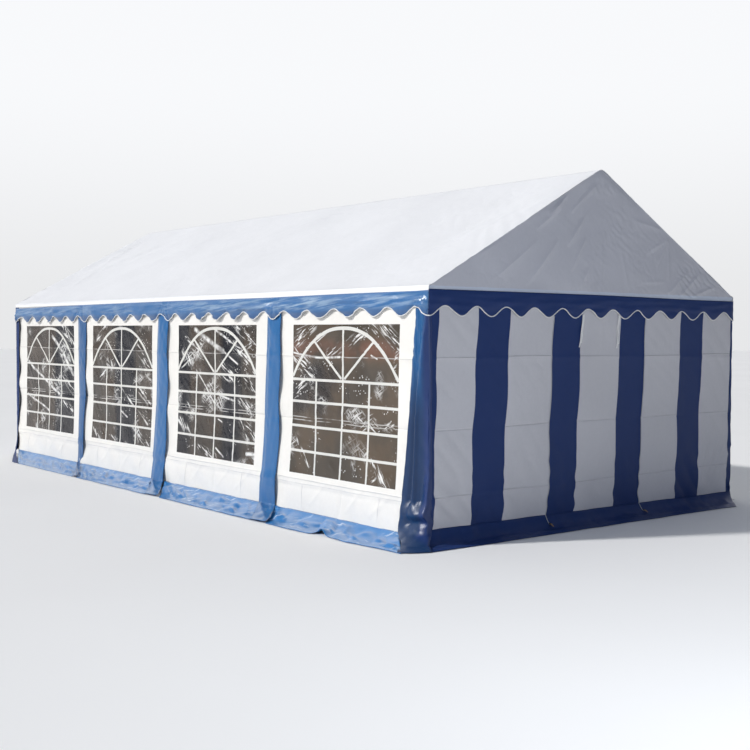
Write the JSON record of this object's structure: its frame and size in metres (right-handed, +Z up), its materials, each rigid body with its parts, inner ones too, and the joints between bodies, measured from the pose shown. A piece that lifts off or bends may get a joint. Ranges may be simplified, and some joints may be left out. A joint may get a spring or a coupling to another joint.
{
  "type": "framed party marquee",
  "caption": "Gabled party marquee: a tubular steel frame under a white roof with a scalloped valance, arched window walls, striped ends with zipped doors and ground flaps.",
  "frame": {"origin": "on the ground at the middle of the plan", "axes": "+X along the ridge towards the right end, -Y towards the front long side, +Z up"},
  "size_m": [8.5412, 4.5952, 2.9918],
  "materials": {
    "galvanised_steel": "dull zinc",
    "roof_cloth": "matte coated cloth",
    "wall_cloth": "satin coated cloth",
    "blue_cloth": "glossy coated cloth",
    "window_film": "clear soft film"
  },
  "bodies": {
    "root": {"ridge_rail": "galvanised_steel", "front_eave_rail": "galvanised_steel", "front_leg_1": "galvanised_steel", "front_rafter_1": "galvanised_steel", "front_leg_2": "galvanised_steel", "front_rafter_2": "galvanised_steel", "front_leg_3": "galvanised_steel", "front_rafter_3": "galvanised_steel", "front_leg_4": "galvanised_steel", "front_rafter_4": "galvanised_steel", "front_leg_5": "galvanised_steel", "front_rafter_5": "galvanised_steel", "front_roof_slope": "roof_cloth", "front_valance": "blue_cloth", "front_ground_flap": "blue_cloth", "front_window_wall_1": "wall_cloth", "front_window_film_1": "window_film", "front_window_wall_2": "wall_cloth", "front_window_film_2": "window_film", "front_window_wall_3": "wall_cloth", "front_window_film_3": "window_film", "front_window_wall_4": "wall_cloth", "front_window_film_4": "window_film", "back_eave_rail": "galvanised_steel", "back_leg_1": "galvanised_steel", "back_rafter_1": "galvanised_steel", "back_leg_2": "galvanised_steel", "back_rafter_2": "galvanised_steel", "back_leg_3": "galvanised_steel", "back_rafter_3": "galvanised_steel", "back_leg_4": "galvanised_steel", "back_rafter_4": "galvanised_steel", "back_leg_5": "galvanised_steel", "back_rafter_5": "galvanised_steel", "back_roof_slope": "roof_cloth", "back_valance": "blue_cloth", "back_ground_flap": "blue_cloth", "back_window_wall_1": "wall_cloth", "back_window_film_1": "window_film", "back_window_wall_2": "wall_cloth", "back_window_film_2": "window_film", "back_window_wall_3": "wall_cloth", "back_window_film_3": "window_film", "back_window_wall_4": "wall_cloth", "back_window_film_4": "window_film", "right_end_tie_bar": "galvanised_steel", "right_gable_cloth": "roof_cloth", "right_valance": "blue_cloth", "right_end_wall": "wall_cloth", "right_end_door": "wall_cloth", "right_ground_flap": "blue_cloth", "left_end_tie_bar": "galvanised_steel", "left_gable_cloth": "roof_cloth", "left_valance": "blue_cloth", "left_end_wall": "wall_cloth", "left_end_door": "wall_cloth", "left_ground_flap": "blue_cloth"}
  },
  "joints": []
}
